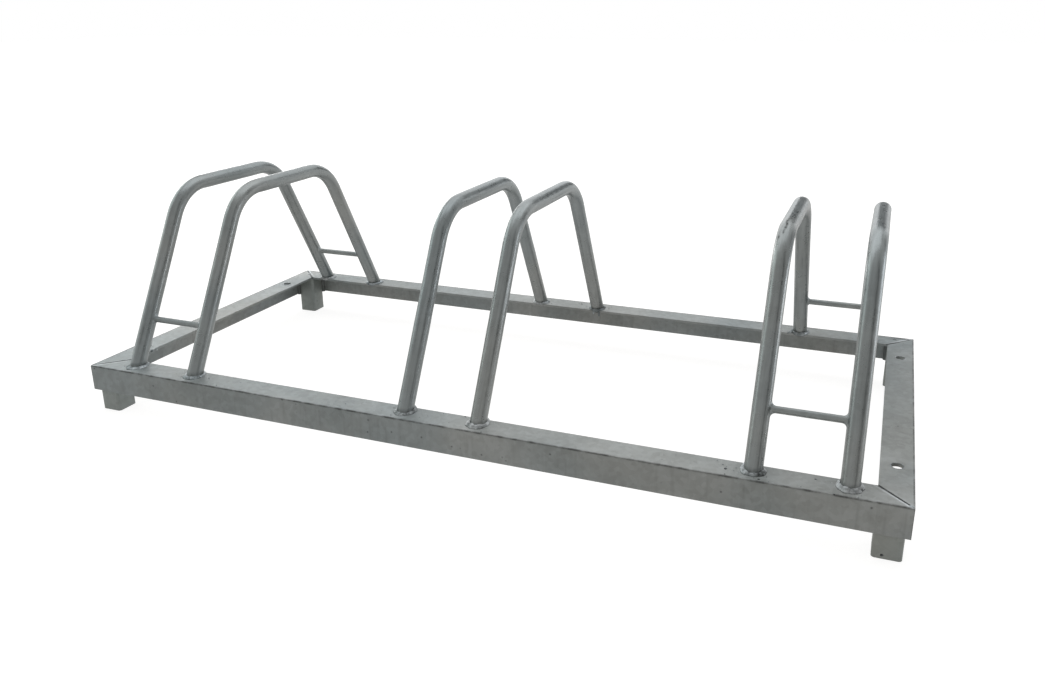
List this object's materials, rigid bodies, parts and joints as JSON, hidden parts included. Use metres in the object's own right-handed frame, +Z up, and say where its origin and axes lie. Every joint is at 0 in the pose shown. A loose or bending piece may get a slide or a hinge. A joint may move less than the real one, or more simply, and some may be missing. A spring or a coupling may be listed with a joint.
{
  "type": "floor bike rack",
  "caption": "Low floor rack of galvanised steel: an angle-iron frame on feet that carries bent tube hoops in pairs, each pair holding a bicycle wheel upright.",
  "frame": {"origin": "on the ground, under the middle of the rack", "axes": "+X along the rack from the left bay to the right bay, +Y from the front, where the bicycles come in, to the rear, +Z up"},
  "size_m": [1.05, 0.5, 0.3],
  "materials": {
    "angle_zinc": "hot-dip galvanised, matt, lightly mottled",
    "tube_zinc": "hot-dip galvanised, satin, with soft streaks along the tube",
    "foot_zinc": "hot-dip galvanised, matt",
    "bar_zinc": "hot-dip galvanised, satin",
    "weld_zinc": "hot-dip galvanised over a weld bead, brighter and uneven"
  },
  "bodies": {
    "root": {"front_rail": "angle_zinc", "right_rail": "angle_zinc", "rear_rail": "angle_zinc", "left_rail": "angle_zinc", "corner_weld_front_left": "weld_zinc", "corner_weld_front_right": "weld_zinc", "corner_weld_rear_right": "weld_zinc", "corner_weld_rear_left": "weld_zinc", "foot_front_left": "foot_zinc", "foot_front_right": "foot_zinc", "foot_rear_right": "foot_zinc", "foot_rear_left": "foot_zinc", "foot_weld_front_left": "weld_zinc", "foot_weld_front_right": "weld_zinc", "foot_weld_rear_right": "weld_zinc", "foot_weld_rear_left": "weld_zinc", "left_bay_hoop_outer": "tube_zinc", "left_bay_hoop_inner": "tube_zinc", "middle_bay_hoop_left": "tube_zinc", "middle_bay_hoop_right": "tube_zinc", "right_bay_hoop_inner": "tube_zinc", "right_bay_hoop_outer": "tube_zinc", "left_bay_hoop_outer_welds": "weld_zinc", "left_bay_hoop_inner_welds": "weld_zinc", "middle_bay_hoop_left_welds": "weld_zinc", "middle_bay_hoop_right_welds": "weld_zinc", "right_bay_hoop_inner_welds": "weld_zinc", "right_bay_hoop_outer_welds": "weld_zinc", "left_bay_front_rung": "bar_zinc", "left_bay_rear_rung": "bar_zinc", "right_bay_front_rung": "bar_zinc", "right_bay_rear_rung": "bar_zinc", "left_bay_front_rung_welds": "weld_zinc", "left_bay_rear_rung_welds": "weld_zinc", "right_bay_front_rung_welds": "weld_zinc", "right_bay_rear_rung_welds": "weld_zinc"}
  },
  "joints": []
}
